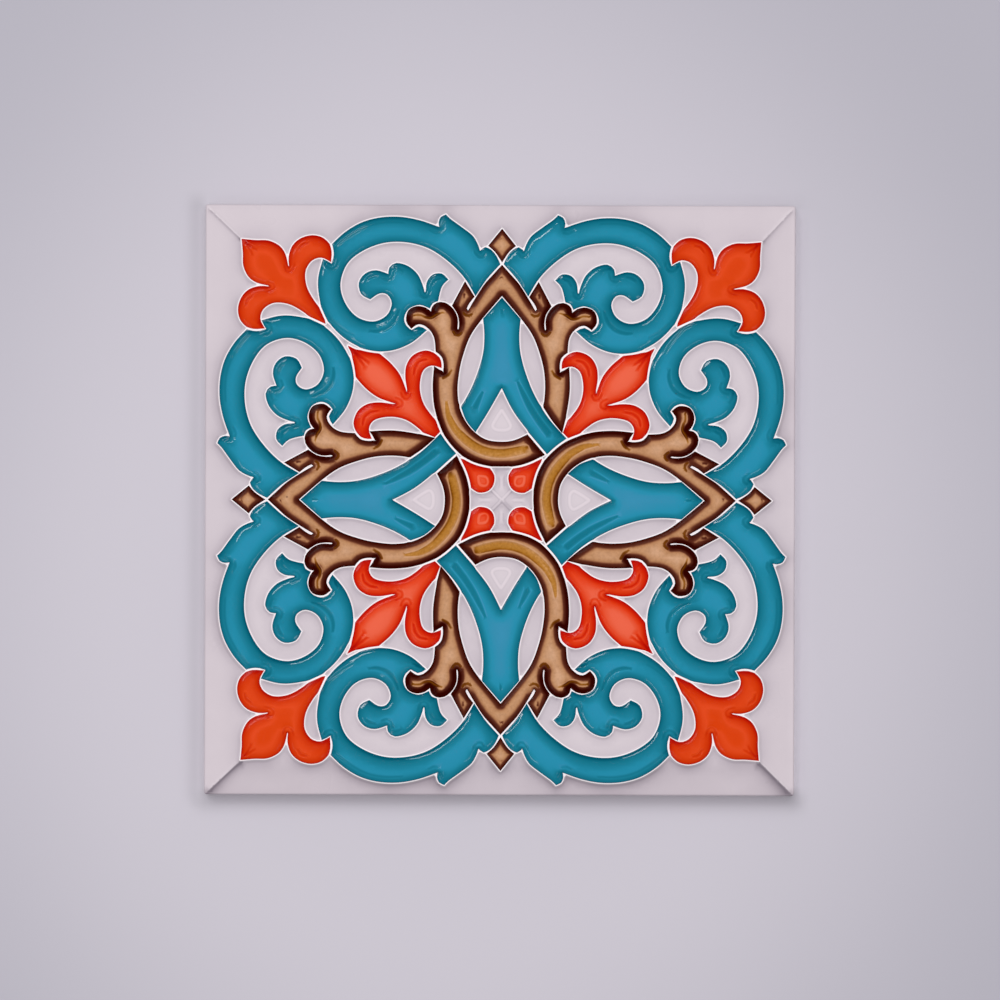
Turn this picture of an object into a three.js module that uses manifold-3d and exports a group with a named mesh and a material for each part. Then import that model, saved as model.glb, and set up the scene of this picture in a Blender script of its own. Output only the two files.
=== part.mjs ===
// Relief-moulded wall tile, one fired piece: a square slab with a gently hipped border, and an
// ornament of raised pads on its face. Millimetres, +Z up, back on z = 0, origin at the back's centre.

import * as THREE from 'three';
import { mergeVertices } from 'three/addons/utils/BufferGeometryUtils.js';
import Module from 'manifold-3d';

// Slab
const tileSide = 152;
const groundHeight = 8;        // level field inside the border
const rimHeight = 7.3;         // top of the slab at its outer edge
const borderWidth = 9.1;       // from the outer edge to the tips of the corner flowers
const rimRound = 0.7;          // chamfer between the border and the side walls
const backBevel = 0.6;         // chamfer round the back

// Raised ornament
const reliefRise = 1.1;        // top of the pads above the field
const shoulderRise = 0.55;     // where a pad's upright side ends and its chamfer starts
const chamferWidth = 0.5;
const padRoot = 1.5;           // depth of a pad's foot below the field, inside the slab
const longestMitre = 1.8;      // cap on the inset of a sharp tip, in chamfer widths

// Raised mitre lines on the border's four corners
const mitreRidgeRadius = 0.45;
const mitreRidgeInset = 1.2;   // from the corner of the slab to the end of the line

// The outlines below are drawn in the upper left of the face, for corner flowers that reach this far
// from both centre lines. Each is a list of runs: a run is a smooth curve through its points, and runs
// meet at corners.
const drawnReach = 66.9;

// Corner flower, from its outer tip to its base, on the upper side of the diagonal
const cornerFlowerHalf = [
    [[-66.9, 66.9], [-63.4, 66.6], [-60.2, 66.5], [-57.4, 65.2], [-55.9, 63.1], [-55.2, 60.3]],
    [[-55.2, 60.3], [-54.9, 59.7]],
    [[-54.9, 59.7], [-54.7, 60.3]],
    [[-54.7, 60.3], [-54.8, 62.4], [-53.9, 65.2], [-51.8, 67.1], [-48.8, 67.9], [-45.9, 67.1],
        [-44.2, 64.8], [-44.1, 61.3]],
    [[-44.1, 61.3], [-46.5, 62.4], [-49, 61.6], [-50.6, 59.2], [-50.7, 56.2], [-49.7, 53.2],
        [-47.2, 49.3]],
    [[-47.2, 49.3], [-46.4, 47.7], [-45.5, 45.5]],
];

// Inner flower, from its outer tip to its blunt base, on the upper side of the diagonal
const innerFlowerHalf = [
    [[-39.5, 39.5], [-37.5, 38.5], [-34.6, 37.9], [-31.6, 37.5]],
    [[-31.6, 37.5], [-28.8, 35.1], [-26.5, 32.1], [-25.1, 28.5]],
    [[-25.1, 28.5], [-24.7, 27.5]],
    [[-24.7, 27.5], [-24.5, 28.5]],
    [[-24.5, 28.5], [-24.9, 31.6], [-24.5, 34.7], [-22.7, 37.2], [-19.6, 38.3], [-17.1, 37.3],
        [-15.8, 34.1]],
    [[-15.8, 34.1], [-18.3, 34.7], [-20.4, 33.5], [-21.3, 31], [-21.4, 27.7], [-20.3, 24.2],
        [-17.3, 20.2]],
    [[-17.3, 20.2], [-16.8, 18.8], [-16.3, 17.6]],
];

// Acanthus scroll left of the upper centre line
const scroll = [
    [[-0.6, 60.7], [-4, 56.9], [-6.8, 52.7]],
    [[-6.8, 52.7], [-9.6, 57.3], [-13.9, 61.6], [-19, 64.9], [-24.7, 66.4], [-30.5, 66.2], [-36, 64.1],
        [-40, 60.7], [-41.7, 55.6], [-40.6, 50.8], [-37.5, 47], [-33.2, 45.7], [-29.6, 47.3],
        [-28, 50.6], [-29.4, 53.1], [-32.1, 53.3], [-33.9, 51.7]],
    [[-33.9, 51.7], [-36.1, 53], [-36.7, 55.8], [-35.1, 58.1], [-32.4, 58.9], [-29.1, 57.9]],
    [[-29.1, 57.9], [-28.9, 59.6], [-27.2, 60.8], [-24.2, 60], [-21.8, 57.9], [-20.5, 55.1],
        [-20.1, 53.6]],
    [[-20.1, 53.6], [-19.8, 53.1]],
    [[-19.8, 53.1], [-19.5, 53.6]],
    [[-19.5, 53.6], [-19.2, 56], [-17.8, 57.8], [-15.6, 58.1], [-14, 56.7]],
    [[-14, 56.7], [-15.6, 54.9], [-16.6, 51.2]],
    [[-16.6, 51.2], [-17.9, 50.7], [-18.6, 49.4]],
    [[-18.6, 49.4], [-21.2, 50.3], [-24.1, 49.2], [-25.3, 46.7], [-24.6, 44.6], [-23.2, 43.5]],
    [[-23.2, 43.5], [-21.4, 44.4], [-19.6, 43.6]],
    [[-19.6, 43.6], [-23.6, 40.4], [-28.6, 38.5], [-34, 38.6], [-39.3, 40.9], [-43.5, 44.6],
        [-46, 48.8], [-47.1, 53.6], [-47.1, 57.5], [-46, 61.7]],
    [[-46, 61.7], [-44.9, 61.2], [-43.8, 60.5]],
    [[-43.8, 60.5], [-43.1, 63.2], [-43.6, 65.7]],
    [[-43.6, 65.7], [-40.4, 68.7], [-36.2, 71.2], [-31.5, 72.5], [-26.3, 72.7], [-21.2, 71.8],
        [-16, 70]],
    [[-16, 70], [-16.2, 71.4], [-15.7, 72.7], [-14.5, 73.3]],
    [[-14.5, 73.3], [-13.4, 72.2], [-10.5, 70.1], [-7.6, 67.8], [-6.2, 65.3], [-5.9, 64.3]],
    [[-5.9, 64.3], [-5.6, 63.8]],
    [[-5.6, 63.8], [-5.3, 64.3]],
    [[-5.3, 64.3], [-4.4, 64.9], [-2.8, 64.2], [-1.5, 62.6], [-0.6, 60.7]],
];

// Small diamond above the crossing, on the left of the centre line
const diamondHalf = [
    [[0, 69.6], [-3.4, 65.4]],
    [[-3.4, 65.4], [-1.7, 63.9], [0, 61.4]],
];

// Strap of the upper loop: the leafed side from the outer apex down to the inner flower's lobe
const strapLeafSide = [
    [[0, 60.3], [-2.2, 57.9], [-4.5, 55.3], [-7, 51.4], [-8.2, 49.3]],
    [[-8.2, 49.3], [-8.7, 48.5]],
    [[-8.7, 48.5], [-9.2, 49.2], [-8.4, 50.8], [-7.2, 52.3]],
    [[-7.2, 52.3], [-9.5, 56]],
    [[-9.5, 56], [-12.7, 50]],
    [[-12.7, 50], [-11.3, 47.8], [-10.9, 45.4], [-11, 44.1]],
    [[-11, 44.1], [-11.3, 43.5]],
    [[-11.3, 43.5], [-11.6, 44.1]],
    [[-11.6, 44.1], [-11.5, 46.6], [-12.5, 48.9], [-14.6, 50.6], [-16.7, 50.6], [-18.1, 48.1]],
    [[-18.1, 48.1], [-19.6, 49.3], [-21.9, 49.7], [-24, 48.6], [-24.5, 46], [-23.3, 44.2]],
    [[-23.3, 44.2], [-21.4, 45.4], [-19.2, 44.6], [-17.4, 41.9], [-17, 38.2]],
    [[-17, 38.2], [-15.5, 37], [-15, 34.9], [-15.1, 32.7]],
    [[-15.1, 32.7], [-16.3, 33.4], [-17.5, 34.2]],
];

// The same strap's loop: round the bottom, cut off by the forked stem at both of its ends
const strapLoop = [
    [[-17.5, 34.2], [-17.9, 28.6], [-17.2, 22.6], [-14.5, 16.1], [-9.6, 11.2], [-3.3, 9], [3.4, 9],
        [11.1, 11.9]],
    [[11.1, 11.9], [6.6, 16.7]],
    [[6.6, 16.7], [3.5, 15.4], [0, 14.9], [-4.4, 15.6], [-8.3, 18.5], [-10.9, 22.9], [-11.7, 28],
        [-11.2, 33.2], [-10.1, 37.6], [-8.3, 42.2], [-5.4, 46.4], [0, 52.7]],
    [[0, 52.7], [5.4, 46.4], [8.3, 42.2], [10.1, 37.6], [11.2, 33.2], [11.5, 28.5], [11, 23.9]],
    [[11, 23.9], [13, 20.8], [15.4, 17.8]],
    [[15.4, 17.8], [16.8, 22.3], [17.7, 28.3], [17.5, 34.2]],
];

// Forked stem inside the upper loop, whose right leg passes over the strap
const forkedStem = [
    [[0, 51.9], [-4.7, 46.6]],
    [[-4.7, 46.6], [-4.4, 42.5], [-4.7, 38], [-6, 33.2], [-8, 28.3], [-10.5, 23.9]],
    [[-10.5, 23.9], [-9.2, 20.5], [-6.9, 17.7]],
    [[-6.9, 17.7], [-3.6, 22.9], [0, 29.1]],
    [[0, 29.1], [3, 23.3], [6.7, 18.3], [11.4, 12.5]],
    [[11.4, 12.5], [13.4, 14.4], [15.9, 15.8]],
    [[15.9, 15.8], [11.6, 21.1], [8.2, 27.1], [6, 33], [4.7, 38], [4.4, 42.5], [4.7, 46.6]],
    [[4.7, 46.6], [0, 51.9]],
];

// Drop up and left of the centre
const drop = [
    [[-9.9, 9.9], [-7.1, 8.9], [-3.2, 8]],
    [[-3.2, 8], [-2.1, 6.4], [-2.4, 4], [-4, 2.4], [-6.4, 2.1], [-8, 3.2]],
    [[-8, 3.2], [-8.9, 7.1], [-9.9, 9.9]],
];

// Places worked out from the sizes
const tileHalf = tileSide / 2;
const fieldHalf = tileHalf - borderWidth;
const patternScale = fieldHalf / drawnReach;
const quarterTurns = [0, 1, 2, 3];

const wasm = await Module();
wasm.setup();

// Mirror images of a list of runs, walked the other way so that they carry on from its end
const acrossCentreLine = ([x, y]) => [-x, y];
const acrossDiagonal = ([x, y]) => [-y, -x];
const mirrored = (runs, across) => runs.map((run) => run.map(across).reverse()).reverse();

// Closed outline of a list of runs, one vertex for each chosen point, counter-clockwise
function outlineOf(runs) {
    const points = runs.flatMap((run) => run.slice(0, -1));
    const outline = points.map(([x, y]) => new THREE.Vector2(x, y).multiplyScalar(patternScale));
    return THREE.ShapeUtils.isClockWise(outline) ? outline.reverse() : outline;
}

// The outline moved inwards, with the mitres of its sharpest tips cut short
function insetOf(outline, inset) {
    return outline.map((point, index) => {
        const before = outline.at(index - 1);
        const after = outline[(index + 1) % outline.length];
        const inwards = [[before, point], [point, after]].map(([from, to]) => {
            const along = to.clone().sub(from).normalize();
            return new THREE.Vector2(-along.y, along.x);
        });
        const middle = inwards[0].clone().add(inwards[1]).normalize();
        const reach = Math.min(1 / Math.max(middle.dot(inwards[0]), 0.01), longestMitre);
        return point.clone().addScaledVector(middle, inset * reach);
    });
}

// Closed solid through rings of equal length, one above the other
function solidOfRings(rings, heights) {
    const count = rings[0].length;
    const vertices = rings.flatMap((ring, level) => ring.flatMap(({ x, y }) => [x, y, heights[level]]));
    const triangles = [];
    for (let level = 0; level + 1 < rings.length; level += 1) {
        for (let index = 0; index < count; index += 1) {
            const next = (index + 1) % count;
            const [low, lowNext] = [level * count + index, level * count + next];
            triangles.push(low, lowNext, lowNext + count, low, lowNext + count, low + count);
        }
    }
    const top = (rings.length - 1) * count;
    for (const [a, b, c] of THREE.ShapeUtils.triangulateShape(rings[0], [])) {
        triangles.push(a, c, b);
    }
    for (const [a, b, c] of THREE.ShapeUtils.triangulateShape(rings.at(-1), [])) {
        triangles.push(top + a, top + b, top + c);
    }
    const geometry = new THREE.BufferGeometry();
    geometry.setAttribute('position', new THREE.Float32BufferAttribute(vertices, 3));
    geometry.setIndex(triangles);
    return geometry;
}

// Solid for joining, from a geometry whose shared corners are merged and empty triangles dropped
function toSolid(geometry) {
    const bare = geometry.clone();
    bare.deleteAttribute('normal');
    bare.deleteAttribute('uv');
    const merged = mergeVertices(bare);
    const index = Array.from(merged.index.array);
    const triVerts = [];
    for (let start = 0; start < index.length; start += 3) {
        const [a, b, c] = index.slice(start, start + 3);
        if (a !== b && b !== c && c !== a) triVerts.push(a, b, c);
    }
    const vertProperties = new Float32Array(merged.getAttribute('position').array);
    return new wasm.Manifold(
        new wasm.Mesh({ numProp: 3, vertProperties, triVerts: new Uint32Array(triVerts) }),
    );
}

// Slab: a turned profile with four sides, so that its border is hipped and its corners are mitred
function slabGeometry() {
    const cornerRadius = (half) => half * Math.SQRT2;
    const profile = [
        [0, 0],
        [tileHalf - backBevel, 0],
        [tileHalf, backBevel],
        [tileHalf, rimHeight - rimRound],
        [tileHalf - rimRound, rimHeight],
        [fieldHalf, groundHeight],
        [0, groundHeight],
    ].map(([half, height]) => new THREE.Vector2(cornerRadius(half), height));
    return new THREE.LatheGeometry(profile, 4, Math.PI / 4).rotateX(Math.PI / 2);
}

// Pad of one glazed cell, turned by quarters about the centre
function padGeometry(runs, quarter) {
    const outline = outlineOf(runs);
    const rings = [outline, outline, insetOf(outline, chamferWidth)];
    const heights = [-padRoot, shoulderRise, reliefRise].map((height) => groundHeight + height);
    return solidOfRings(rings, heights).rotateZ(quarter * Math.PI / 2);
}

// Mitre line: a square bar laid on its edge along the hip of one corner
function mitreRidgeGeometry(quarter) {
    const inner = new THREE.Vector3(fieldHalf, fieldHalf, groundHeight);
    const outerHalf = tileHalf - mitreRidgeInset;
    const fall = (groundHeight - rimHeight) / (borderWidth - rimRound);
    const outer = new THREE.Vector3(outerHalf, outerHalf, groundHeight - (outerHalf - fieldHalf) * fall);
    const length = inner.distanceTo(outer);
    const tilt = Math.asin((outer.z - inner.z) / length);
    const middle = inner.clone().add(outer).multiplyScalar(0.5);
    return new THREE.CylinderGeometry(mitreRidgeRadius, mitreRidgeRadius, length, 4)
        .rotateX(tilt)
        .rotateZ(-Math.PI / 4)
        .translate(middle.x, middle.y, middle.z)
        .rotateZ(quarter * Math.PI / 2);
}

const cells = [
    [...cornerFlowerHalf, ...mirrored(cornerFlowerHalf, acrossDiagonal)],
    [...innerFlowerHalf, [innerFlowerHalf.at(-1).at(-1), acrossDiagonal(innerFlowerHalf.at(-1).at(-1))],
        ...mirrored(innerFlowerHalf, acrossDiagonal)],
    scroll,
    mirrored(scroll, acrossCentreLine),
    [...diamondHalf, ...mirrored(diamondHalf, acrossCentreLine)],
    [...strapLeafSide, ...strapLoop, ...mirrored(strapLeafSide, acrossCentreLine)],
    forkedStem,
    drop,
];

function tileGeometry() {
    const pads = cells.flatMap((runs) => quarterTurns.map((quarter) => padGeometry(runs, quarter)));
    const ridges = quarterTurns.map(mitreRidgeGeometry);
    let solid = toSolid(slabGeometry());
    for (const raised of [...pads, ...ridges]) solid = solid.add(toSolid(raised));
    const { vertProperties, triVerts } = solid.getMesh();
    const geometry = new THREE.BufferGeometry();
    geometry.setAttribute('position', new THREE.Float32BufferAttribute(vertProperties, 3));
    geometry.setIndex(Array.from(triVerts));
    geometry.computeVertexNormals();
    return geometry;
}

const glazedCeramic = new THREE.MeshStandardMaterial({ color: 0xd3c9ce, roughness: 0.2, metalness: 0 });

const tile = new THREE.Mesh(tileGeometry(), glazedCeramic);
tile.name = 'tile';

const part = new THREE.Group();
part.add(tile);

export default part;
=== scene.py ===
# Relief-moulded wall tile, glazed by hand. One closed mesh stands for the imported tile: its face follows
# the moulded outlines, and its tone says how light each glaze looks where it lies thick or thin, with
# painted shade, painted shadow and painted light added in places.
import math

import bpy
import numpy as np
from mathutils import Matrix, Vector
from mathutils.geometry import delaunay_2d_cdt
from mathutils.kdtree import KDTree


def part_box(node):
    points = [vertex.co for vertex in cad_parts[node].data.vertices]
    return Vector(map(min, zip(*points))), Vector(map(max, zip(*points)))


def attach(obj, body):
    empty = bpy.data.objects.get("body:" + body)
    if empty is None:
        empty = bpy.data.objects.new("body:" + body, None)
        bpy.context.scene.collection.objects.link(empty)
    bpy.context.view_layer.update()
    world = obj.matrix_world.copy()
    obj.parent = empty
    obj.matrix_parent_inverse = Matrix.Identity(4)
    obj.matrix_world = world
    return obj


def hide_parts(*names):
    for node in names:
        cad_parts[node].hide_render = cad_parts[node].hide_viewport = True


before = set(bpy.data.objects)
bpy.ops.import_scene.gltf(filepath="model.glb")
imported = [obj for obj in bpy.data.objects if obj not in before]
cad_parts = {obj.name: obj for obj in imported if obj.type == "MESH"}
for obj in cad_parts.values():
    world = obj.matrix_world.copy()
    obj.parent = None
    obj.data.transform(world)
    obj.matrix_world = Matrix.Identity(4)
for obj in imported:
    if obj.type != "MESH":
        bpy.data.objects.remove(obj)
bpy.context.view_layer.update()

mm = 0.001
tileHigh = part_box("tile")[1]

# The tile's body, in millimetres; its sides come from the frame
slab = {
    "half": tileHigh[0] / mm,
    "top": tileHigh[2] / mm,
    "ground": 8.0,             # level field inside the border
    "rim": 7.3,                # face at its outer edge
    "border": 9.1,
    "rimRound": 0.5,
    "rimSteps": 5,
    "cornerRound": 0.6,
    "backBevel": 0.6,
    "edgeStep": 1.4,
}

# How the outlines become relief
relief = {
    "shift": (0.5, 0.05),      # the mould's pattern sits a little off the middle of the slab
    "outlineStep": 0.85,       # between mesh points along an outline
    "searchStep": 0.12,        # between the points that distances are measured to
    "lineStep": 0.15,          # along the pressed lines
    "poolStep": 0.3,           # along the runs that glaze pools beside
    "closest": 0.21,           # between any two mesh points off the outlines
    "rowClear": 0.85,          # share of its own distance that a row keeps from other outlines
    "lineClear": 0.15,         # what the pressed lines keep from the outlines
    "rimRows": (0.35, 0.9),    # rows of mesh points inside the face's outer edge
    "swell": 0.15,             # how far the glaze creeps past the drawn outlines
    "seam": 0.5,               # what is left between two cells that all but touch
    "seamFull": 0.74,
    "seamFrom": 1.0,
    "outerRows": [0.1, 0.2, 0.32, 0.46, 0.75, 1.2],
    "innerRows": [0.15, 0.35, 0.65, 1.0, 1.4, 1.9],
    "strapRows": [0.15, 0.4, 0.75, 1.1, 1.35, 1.55, 1.75, 2.15],
    "fillStep": 1.25,
    "fillFrom": 2.2,
    "fanTurn": 0.35,           # a sharper corner gets a fan of points round its open side
    "ridgeRise": 0.35,
    "ridgeCentre": 0.2,
    "ridgeHalf": 0.27,
    "moat": 0.22,              # how far the white glaze sinks beside a ridge
    "groundReach": 1.5,
    "low": 0.25,               # foot of a coloured cell above the field
    "crown": 0.76,             # and its crown above its foot
    "crownReach": 1.35,
    "lipWidth": 0.24,
    "pyramid": (0.3, 3.2),     # rise and reach of the low pyramid in the middle
}

# The outlines are drawn in the upper left of the face. Each is a list of runs: a run is a smooth curve
# through its points, and runs meet at corners. A run but the first is written without its first point,
# which is the last one of the run before.
def chained(written):
    runs = written[:1]
    for run in written[1:]:
        runs.append([runs[-1][-1], *run])
    return runs


# Corner flower, from its outer tip to its base, on the upper side of the diagonal
cornerFlowerHalf = chained([
    [[-66.9, 66.9], [-63.4, 66.6], [-60.2, 66.5], [-57.4, 65.2], [-55.9, 63.1], [-55.2, 60.3]],
    [[-54.9, 59.7]],
    [[-54.7, 60.3]],
    [[-54.8, 62.4], [-53.9, 65.2], [-51.8, 67.1], [-48.8, 67.9], [-45.9, 67.1],
     [-44.2, 64.8], [-44.1, 61.3]],
    [[-46.5, 62.4], [-49, 61.6], [-50.6, 59.2], [-50.7, 56.2], [-49.7, 53.2],
     [-47.2, 49.3]],
    [[-46.4, 47.7], [-45.5, 45.5]],
])

# Inner flower, from its outer tip to its blunt base, on the upper side of the diagonal
innerFlowerHalf = chained([
    [[-39.5, 39.5], [-37.5, 38.5], [-34.6, 37.9], [-31.6, 37.5]],
    [[-28.8, 35.1], [-26.5, 32.1], [-25.1, 28.5]],
    [[-24.7, 27.5]],
    [[-24.5, 28.5]],
    [[-24.9, 31.6], [-24.5, 34.7], [-22.7, 37.2], [-19.6, 38.3], [-17.1, 37.3],
     [-15.9, 35.7], [-15.8, 34.1]],
    [[-18.3, 34.7], [-20.4, 33.5], [-21.3, 31], [-21.4, 27.7], [-20.3, 24.2],
     [-17.3, 20.2]],
    [[-16.8, 18.8], [-16.3, 17.6]],
])

# Acanthus scroll left of the upper centre line
scroll = chained([
    [[-0.6, 60.7], [-4, 56.9], [-6.8, 52.7]],
    [[-9.6, 57.3], [-13.9, 61.6], [-19, 64.9], [-24.7, 66.4], [-30.5, 66.2], [-36, 64.1],
     [-40, 60.7], [-41.7, 55.6], [-40.6, 50.8], [-37.5, 47], [-33.2, 45.7], [-29.6, 47.3],
     [-28.2, 50.5], [-29.4, 52.9], [-31.6, 53.2], [-33.9, 51.7]],
    [[-36.1, 53], [-36.7, 55.8], [-35.1, 58.1], [-32.4, 58.9], [-29.1, 57.9]],
    [[-28.9, 59.6], [-27.2, 60.8], [-24.2, 60], [-21.8, 57.9], [-20.5, 55.1],
     [-20.1, 53.6]],
    [[-19.8, 53.1]],
    [[-19.5, 53.6]],
    [[-19.2, 56], [-17.8, 57.8], [-15.6, 58.1], [-14, 56.7]],
    [[-15.6, 54.9], [-16.6, 51.2]],
    [[-17.9, 50.7], [-18.6, 49.4]],
    [[-21.2, 50.3], [-24.1, 49.2], [-25.3, 46.7], [-24.6, 44.6], [-23.2, 43.5]],
    [[-21.4, 44.4], [-19.6, 43.6]],
    [[-23.6, 40.4], [-28.6, 38.5], [-34, 38.6], [-39.3, 40.9], [-43.5, 44.6],
     [-46, 48.8], [-47.1, 53.6], [-47.1, 57.5], [-46, 61.7]],
    [[-44.9, 61.2], [-43.8, 60.5]],
    [[-43.1, 63.2], [-43.6, 65.7]],
    [[-40.4, 68.7], [-36.2, 71.2], [-31.5, 72.5], [-26.3, 72.7], [-21.2, 71.8],
     [-16, 70]],
    [[-16.2, 71.4], [-15.7, 72.7], [-14.5, 73.3]],
    [[-13.4, 72.2], [-10.5, 70.1], [-7.6, 67.8], [-6.2, 65.3], [-5.9, 64.3]],
    [[-5.6, 63.8]],
    [[-5.3, 64.3]],
    [[-4.4, 64.9], [-2.8, 64.2], [-1.5, 62.6], [-0.6, 60.7]],
])

# Small diamond above the crossing, on the left of the centre line
diamondHalf = chained([
    [[0, 69.6], [-3.4, 65.4]],
    [[-1.7, 63.9], [0, 61.4]],
])

# Strap of the upper loop: the leafed side from the outer apex down to the inner flower's lobe
strapLeafSide = chained([
    [[0, 60.3], [-2.2, 57.9], [-4.5, 55.3], [-7, 51.4], [-8.2, 49.3]],
    [[-8.7, 48.5]],
    [[-9.2, 49.2], [-8.4, 50.8], [-7.2, 52.3]],
    [[-9.5, 56]],
    [[-12.7, 50]],
    [[-11.3, 47.8], [-10.9, 45.4], [-11, 44.1]],
    [[-11.3, 43.5]],
    [[-11.6, 44.1]],
    [[-11.5, 46.6], [-12.5, 48.9], [-14.6, 50.6], [-16.7, 50.6], [-17.9, 49.5],
     [-18.1, 48.1]],
    [[-19.6, 49.3], [-21.9, 49.7], [-24, 48.6], [-24.5, 46], [-23.3, 44.2]],
    [[-21.4, 45.4], [-19.2, 44.6], [-17.4, 41.9], [-17, 38.2]],
    [[-15.5, 37], [-15, 34.9], [-15.1, 32.7]],
    [[-16.3, 33.4], [-17.5, 34.2]],
])

# The same strap's loop: round the bottom, cut off by the forked stem at both of its ends
strapLoop = chained([
    [[-17.5, 34.2], [-17.9, 28.6], [-17.2, 22.6], [-14.5, 16.1], [-9.6, 11.2], [-3.3, 9], [3.4, 9],
     [7.6, 10.2], [11.3, 11.9]],
    [[6.7, 16.8]],
    [[3.5, 15.4], [0, 14.9], [-4.4, 15.6], [-8.3, 18.5], [-10.9, 22.9], [-11.7, 28],
     [-11.2, 33.2], [-10.1, 37.6], [-8.3, 42.2], [-5.4, 46.4], [0, 52.7]],
    [[5.4, 46.4], [8.3, 42.2], [10.1, 37.6], [11.2, 33.2], [11.5, 28.5], [11.1, 24]],
    [[13.3, 20.8], [15.9, 17.7]],
    [[16.9, 22.3], [17.7, 28.3], [17.5, 34.2]],
])

# Forked stem inside the upper loop, whose right leg passes over the strap
forkedStem = chained([
    [[0, 51.9], [-4.7, 46.6]],
    [[-4.4, 42.5], [-4.7, 38], [-6, 33.2], [-8, 28.3], [-10.5, 23.9]],
    [[-9.2, 20.5], [-6.9, 17.7]],
    [[-3.6, 22.9], [0, 29.1]],
    [[3, 23.3], [6.8, 18.3], [12.1, 12.2]],
    [[14.3, 14.2], [16.9, 16.1]],
    [[12.1, 21.3], [8.4, 27.2], [6, 33], [4.7, 38], [4.4, 42.5], [4.7, 46.6]],
    [[0, 51.9]],
])

# Drop up and left of the centre
drop = chained([
    [[-10.7, 10.7], [-7.3, 9], [-3.2, 8]],
    [[-2.1, 6.4], [-2.4, 4], [-4, 2.4], [-6.4, 2.1], [-8, 3.2]],
    [[-9, 7.3], [-10.7, 10.7]],
])

# The mould is not quite true: how far its pattern sits off, in eight directions from the right and on
# anticlockwise, at three distances from the middle
drift = {
    "reach": [14, 32, 52],
    "off": [
        [(-0.56, -0.04), (-0.47, -0.2), (-0.09, -0.04), (0.2, -0.14),
         (0.36, 0), (0.26, 0.28), (-0.17, 0.35), (-0.41, 0.28)],
        [(-0.62, -0.05), (-0.55, -0.2), (-0.09, 0), (0.25, 0),
         (0.62, -0.05), (0.4, 0.4), (-0.17, 0.5), (-0.8, 0.5)],
        [(-0.27, -0.05), (-0.4, -0.5), (-0.12, 0.04), (-0.15, 0),
         (0.24, -0.05), (-0.07, -0.1), (-0.17, 0.03), (-0.65, 0.05)],
    ],
}


# Lines pressed into the face, in the same places as the outlines. A point is x, y and the line's half
# width; depth is how far it sinks, lip how far its two edges stand up, flat the share of its half width
# that is level, tone how much darker it looks, light how much lighter its lips, partly thin glaze and partly
# a painted highlight (below nought, painted shade beside a raised line), and honey how much of the amber
# glaze lies in it. A raised line has a negative depth.
def groove(depth, lip, flat, *points, tone=0.2, light=0.06, honey=0):
    return {"depth": depth, "lip": lip, "flat": flat, "points": points, "tone": tone, "light": light,
            "honey": honey}


scrollGrooves = [
    groove(0.14, 0.08, 0.3, (-26.5, 48.8, 0.25), (-27, 47.2, 0.45), (-27.9, 45.6, 0.6), (-29.5, 44.1, 0.6),
           (-31.9, 43.3, 0.5), (-34, 43.4, 0.3), tone=0.34),
    groove(0.14, 0.06, 0.2, (-45.6, 60.6, 0.3), (-44.9, 59.7, 0.4), (-43.7, 59.3, 0.4),
           (-42.6, 60, 0.35), (-42.3, 61.3, 0.3), tone=0.22, light=0.1),
    groove(0.12, 0.06, 0.2, (-34.6, 56.8, 0.4), (-33.6, 57.4, 0.45), (-32.4, 57.7, 0.35), tone=0.22,
           light=0.12),
    groove(0.1, 0.05, 0.2, (-27.7, 58.6, 0.3), (-28.2, 57.1, 0.35), (-29.3, 56.5, 0.35),
           (-30.6, 56.9, 0.3)),
    groove(0.1, 0.05, 0.2, (-27.8, 59.8, 0.3), (-26.4, 59.5, 0.4), (-25.4, 58.9, 0.3)),
    groove(0.1, 0.05, 0.2, (-21.2, 53.8, 0.3), (-20.7, 52.5, 0.35), (-19.8, 52, 0.35),
           (-18.9, 52.5, 0.35), (-18.5, 53.7, 0.3)),
    groove(0.1, 0.05, 0.2, (-18, 55.2, 0.3), (-17.2, 56.4, 0.4), (-16, 56.8, 0.3)),
    groove(0.1, 0.04, 0.2, (-18.6, 69.4, 0.25), (-17.1, 68.7, 0.35), (-15.8, 68.9, 0.3), tone=0.12),
    groove(0.1, 0.04, 0.2, (-15.3, 70.6, 0.3), (-14.9, 71.8, 0.35), tone=0.12),
    groove(0.12, 0.05, 0.2, (-7, 63.7, 0.3), (-6, 62.6, 0.4), (-4.9, 62.6, 0.4), (-4.2, 63.5, 0.3),
           light=0.1),
    groove(0.07, 0.05, 0.2, (-43, 64.6, 0.2), (-41.3, 66.3, 0.28), (-39, 68, 0.3), (-36, 69.8, 0.3),
           (-33, 70.9, 0.3), (-29.5, 71.4, 0.28), (-25.5, 71.3, 0.2), tone=0.16, light=0.02),
    groove(0.07, 0.05, 0.2, (-45.9, 50, 0.2), (-44.9, 47.5, 0.28), (-43, 45.6, 0.3), (-40.4, 43.6, 0.3),
           (-38, 42.3, 0.2), tone=0.1, light=0.02),
    groove(0.1, 0.05, 0.2, (-22.6, 42.3, 0.3), (-21.3, 42.9, 0.3), (-20.3, 42.7, 0.25)),
]
cornerGrooves = [
    groove(0.1, 0.05, 0.2, (-52.2, 64.4, 0.25), (-51.3, 65.6, 0.35), (-49.8, 66, 0.25), tone=0.3,
           light=0.2),
    groove(0.12, 0.05, 0.2, (-56, 60, 0.25), (-55.5, 58.8, 0.35), (-54.6, 58.5, 0.35),
           (-53.8, 59.2, 0.3), (-53.5, 60.3, 0.25), tone=0.3),
    groove(0.08, 0.04, 0.2, (-66, 66, 0.25), (-64.4, 64.9, 0.35), (-63.2, 64.3, 0.25), tone=0.3),
]
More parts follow.
